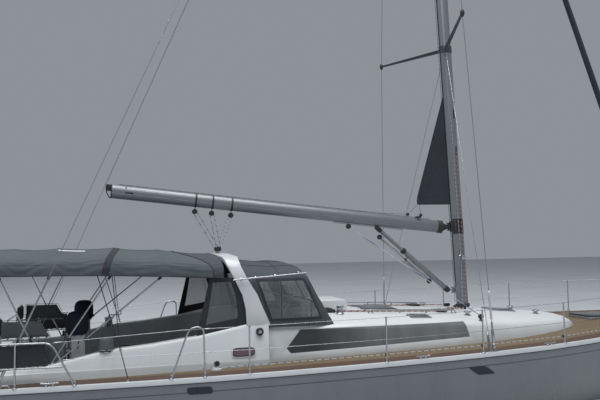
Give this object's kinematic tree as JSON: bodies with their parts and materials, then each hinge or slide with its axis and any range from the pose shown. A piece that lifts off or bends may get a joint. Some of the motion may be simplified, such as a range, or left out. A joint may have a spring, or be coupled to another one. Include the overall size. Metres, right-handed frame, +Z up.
{
  "type": "sailing yacht",
  "caption": "Cruising sailing yacht with a hollow coachroof, open cockpit with canvas covers, raked mast, furled sails, fin keel and twin rudders, afloat.",
  "frame": {"origin": "on the centreline, amidships, at the waterline", "axes": "+X towards the bow, +Y to port, +Z up"},
  "size_m": [15.49, 4.8812, 21.3313],
  "materials": {
    "hull": "gloss",
    "gelcoat": "satin",
    "teak": "oiled, weathered",
    "tinted_glass": "polished",
    "smoked_acrylic": "polished",
    "engine": "satin",
    "alloy": "anodised satin",
    "dark_alloy": "anodised dark",
    "underwater": "matt antifouling",
    "bronze": "satin",
    "black_fitting": "matt",
    "dark_sail": "matt",
    "steel": "polished",
    "canvas": "matt",
    "dark_canvas": "matt",
    "clear_vinyl": "clear"
  },
  "bodies": {
    "root": {"hull": "hull", "deck": "gelcoat", "teak_deck": "teak", "teak_foredeck": "teak", "coachroof": "gelcoat", "window_starboard": "tinted_glass", "window_port": "tinted_glass", "washboard": "smoked_acrylic", "cockpit": "gelcoat", "engine": "engine", "fore_hatch_frame": "alloy", "keel": "underwater", "saildrive": "underwater", "mast": "alloy", "spreaders_lower": "dark_alloy", "spreaders_upper": "dark_alloy", "gooseneck": "black_fitting", "furler_drum": "black_fitting", "headsail_roll": "dark_sail", "shrouds_starboard": "steel", "shrouds_port": "steel", "backstay_starboard": "steel", "backstay_port": "steel", "guard_rail_starboard": "steel", "guard_rail_port": "steel", "pulpit": "steel", "pushpit_starboard": "steel", "pushpit_port": "steel", "weather_cloth_starboard": "canvas", "weather_cloth_port": "canvas", "arch": "gelcoat", "bimini_canopy": "canvas", "bimini_frame": "steel", "dodger": "dark_canvas", "dodger_side_pane_starboard": "clear_vinyl", "dodger_side_pane_port": "clear_vinyl", "dodger_front_pane_starboard": "clear_vinyl", "dodger_front_pane_port": "clear_vinyl", "side_curtain_starboard": "clear_vinyl", "side_curtain_port": "clear_vinyl", "pedestal_starboard": "gelcoat", "pedestal_port": "gelcoat", "helm_seat_starboard": "gelcoat", "helm_seat_port": "gelcoat", "cockpit_table": "teak", "bow_roller": "steel", "anchor": "steel"},
    "boom_assembly": {"boom": "alloy", "boom_gooseneck": "black_fitting", "vang": "alloy", "mainsail_clew": "dark_sail"},
    "rudder_starboard": {"rudder_starboard": "underwater"},
    "rudder_port": {"rudder_port": "underwater"},
    "wheel_starboard": {"wheel_starboard": "steel"},
    "wheel_port": {"wheel_port": "steel"},
    "propeller": {"propeller": "bronze"},
    "companionway_hatch": {"companionway_hatch": "smoked_acrylic"},
    "fore_hatch": {"fore_hatch_lid": "smoked_acrylic"},
    "anchor_locker_lid": {"anchor_locker_lid": "gelcoat"},
    "swim_platform": {"swim_platform": "gelcoat"}
  },
  "joints": [
    {"name": "boom_swing", "type": "hinge", "parent": "root", "child": "boom_assembly", "pos_m": [1.32582, 0, 3.49465], "axis": [-0.0436, 0, 0.999], "range_deg": [-65, 65]},
    {"name": "rudder_starboard_turn", "type": "hinge", "parent": "root", "child": "rudder_starboard", "pos_m": [-6.55, -1.15, -0.19], "axis": [0, 0.2419, 0.9703], "range_deg": [-35, 35]},
    {"name": "rudder_port_turn", "type": "hinge", "parent": "root", "child": "rudder_port", "pos_m": [-6.55, 1.15, -0.19], "axis": [0, -0.2419, 0.9703], "range_deg": [-35, 35]},
    {"name": "wheel_starboard_turn", "type": "hinge", "parent": "root", "child": "wheel_starboard", "pos_m": [-6.2, -1.07, 1.5], "axis": [1, 0, 0], "range_deg": [-271, 271]},
    {"name": "wheel_port_turn", "type": "hinge", "parent": "root", "child": "wheel_port", "pos_m": [-6.2, 1.07, 1.5], "axis": [1, 0, 0], "range_deg": [-271, 271]},
    {"name": "propeller_spin", "type": "hinge", "parent": "root", "child": "propeller", "pos_m": [-1.4473, 0, -1.08], "axis": [1, 0, 0], "continuous": true},
    {"name": "companionway_hatch_slide", "type": "slide", "parent": "root", "child": "companionway_hatch", "axis": [1, 0, 0], "range_m": [0, 0.74]},
    {"name": "fore_hatch_open", "type": "hinge", "parent": "root", "child": "fore_hatch", "pos_m": [5.2, 0, 1.497], "axis": [0, 1, 0], "range_deg": [0, 100]},
    {"name": "anchor_locker_open", "type": "hinge", "parent": "root", "child": "anchor_locker_lid", "pos_m": [5.9423, 0, 1.49], "axis": [0, -1, 0], "range_deg": [0, 95]},
    {"name": "swim_platform_lower", "type": "hinge", "parent": "root", "child": "swim_platform", "pos_m": [-7.462, 0, 0.478], "axis": [0, -1, 0], "range_deg": [0, 90]}
  ],
  "couplings": [
    {"joint": "rudder_port_turn", "follows": "rudder_starboard_turn", "ratio": 1},
    {"joint": "wheel_starboard_turn", "follows": "rudder_starboard_turn", "ratio": 7.7143},
    {"joint": "wheel_port_turn", "follows": "rudder_starboard_turn", "ratio": 7.7143}
  ]
}
